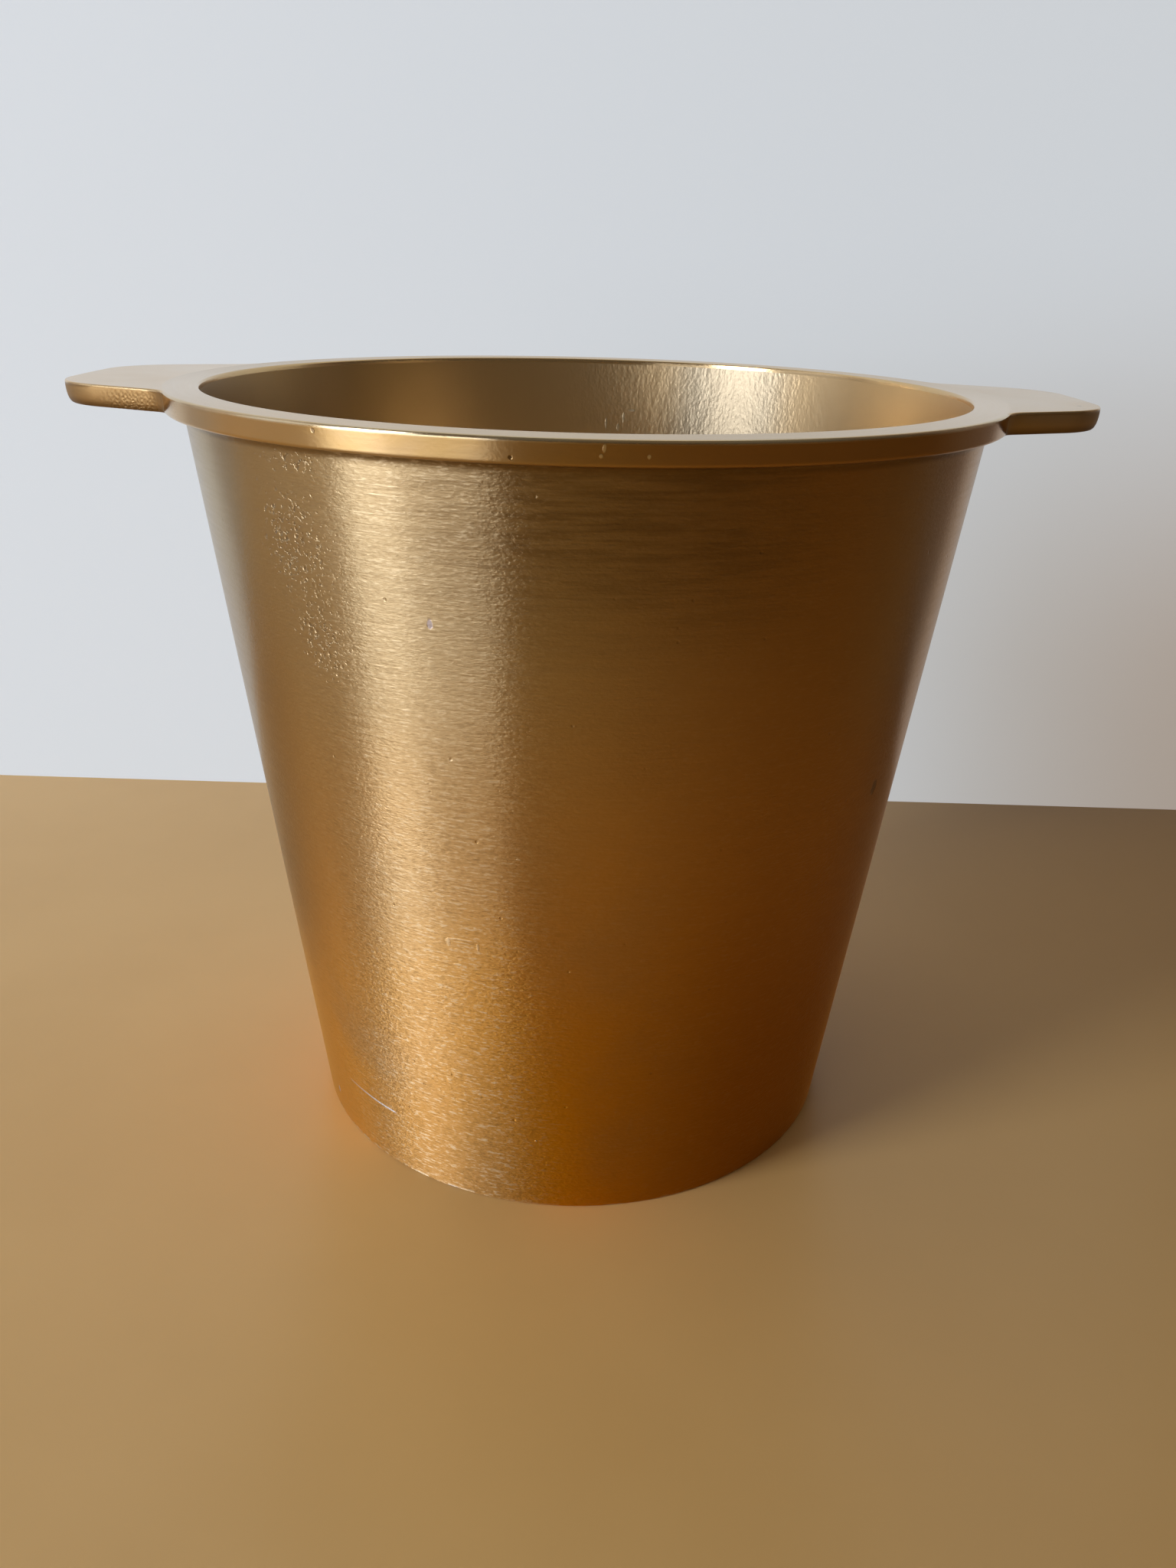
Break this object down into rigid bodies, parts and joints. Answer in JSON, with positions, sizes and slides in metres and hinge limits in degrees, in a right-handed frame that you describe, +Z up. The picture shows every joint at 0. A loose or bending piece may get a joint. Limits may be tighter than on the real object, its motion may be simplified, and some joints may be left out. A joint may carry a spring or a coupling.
{
  "type": "champagne bucket",
  "caption": "Tapered round cast-metal bucket with a flat turned rim and flat tongue handles flush with it, open at the top, for chilling a bottle in ice.",
  "frame": {"origin": "centre of the foot on the table, on the axis of the turned body", "axes": "+X towards the right handle, +Y away from the front, +Z up along the axis of the bucket"},
  "size_m": [0.2552, 0.2098, 0.2],
  "materials": {
    "turned_gold": "gold anodised, turned satin outside, as cast inside",
    "rim_gold": "gold anodised, finely turned satin",
    "handle_gold": "gold anodised, hand finished, as cast in places",
    "floor_gold": "gold anodised, as cast"
  },
  "bodies": {
    "root": {"bucket_wall": "turned_gold", "base_plate": "floor_gold", "rim_flange": "rim_gold", "left_handle": "handle_gold", "right_handle": "handle_gold"}
  },
  "joints": []
}
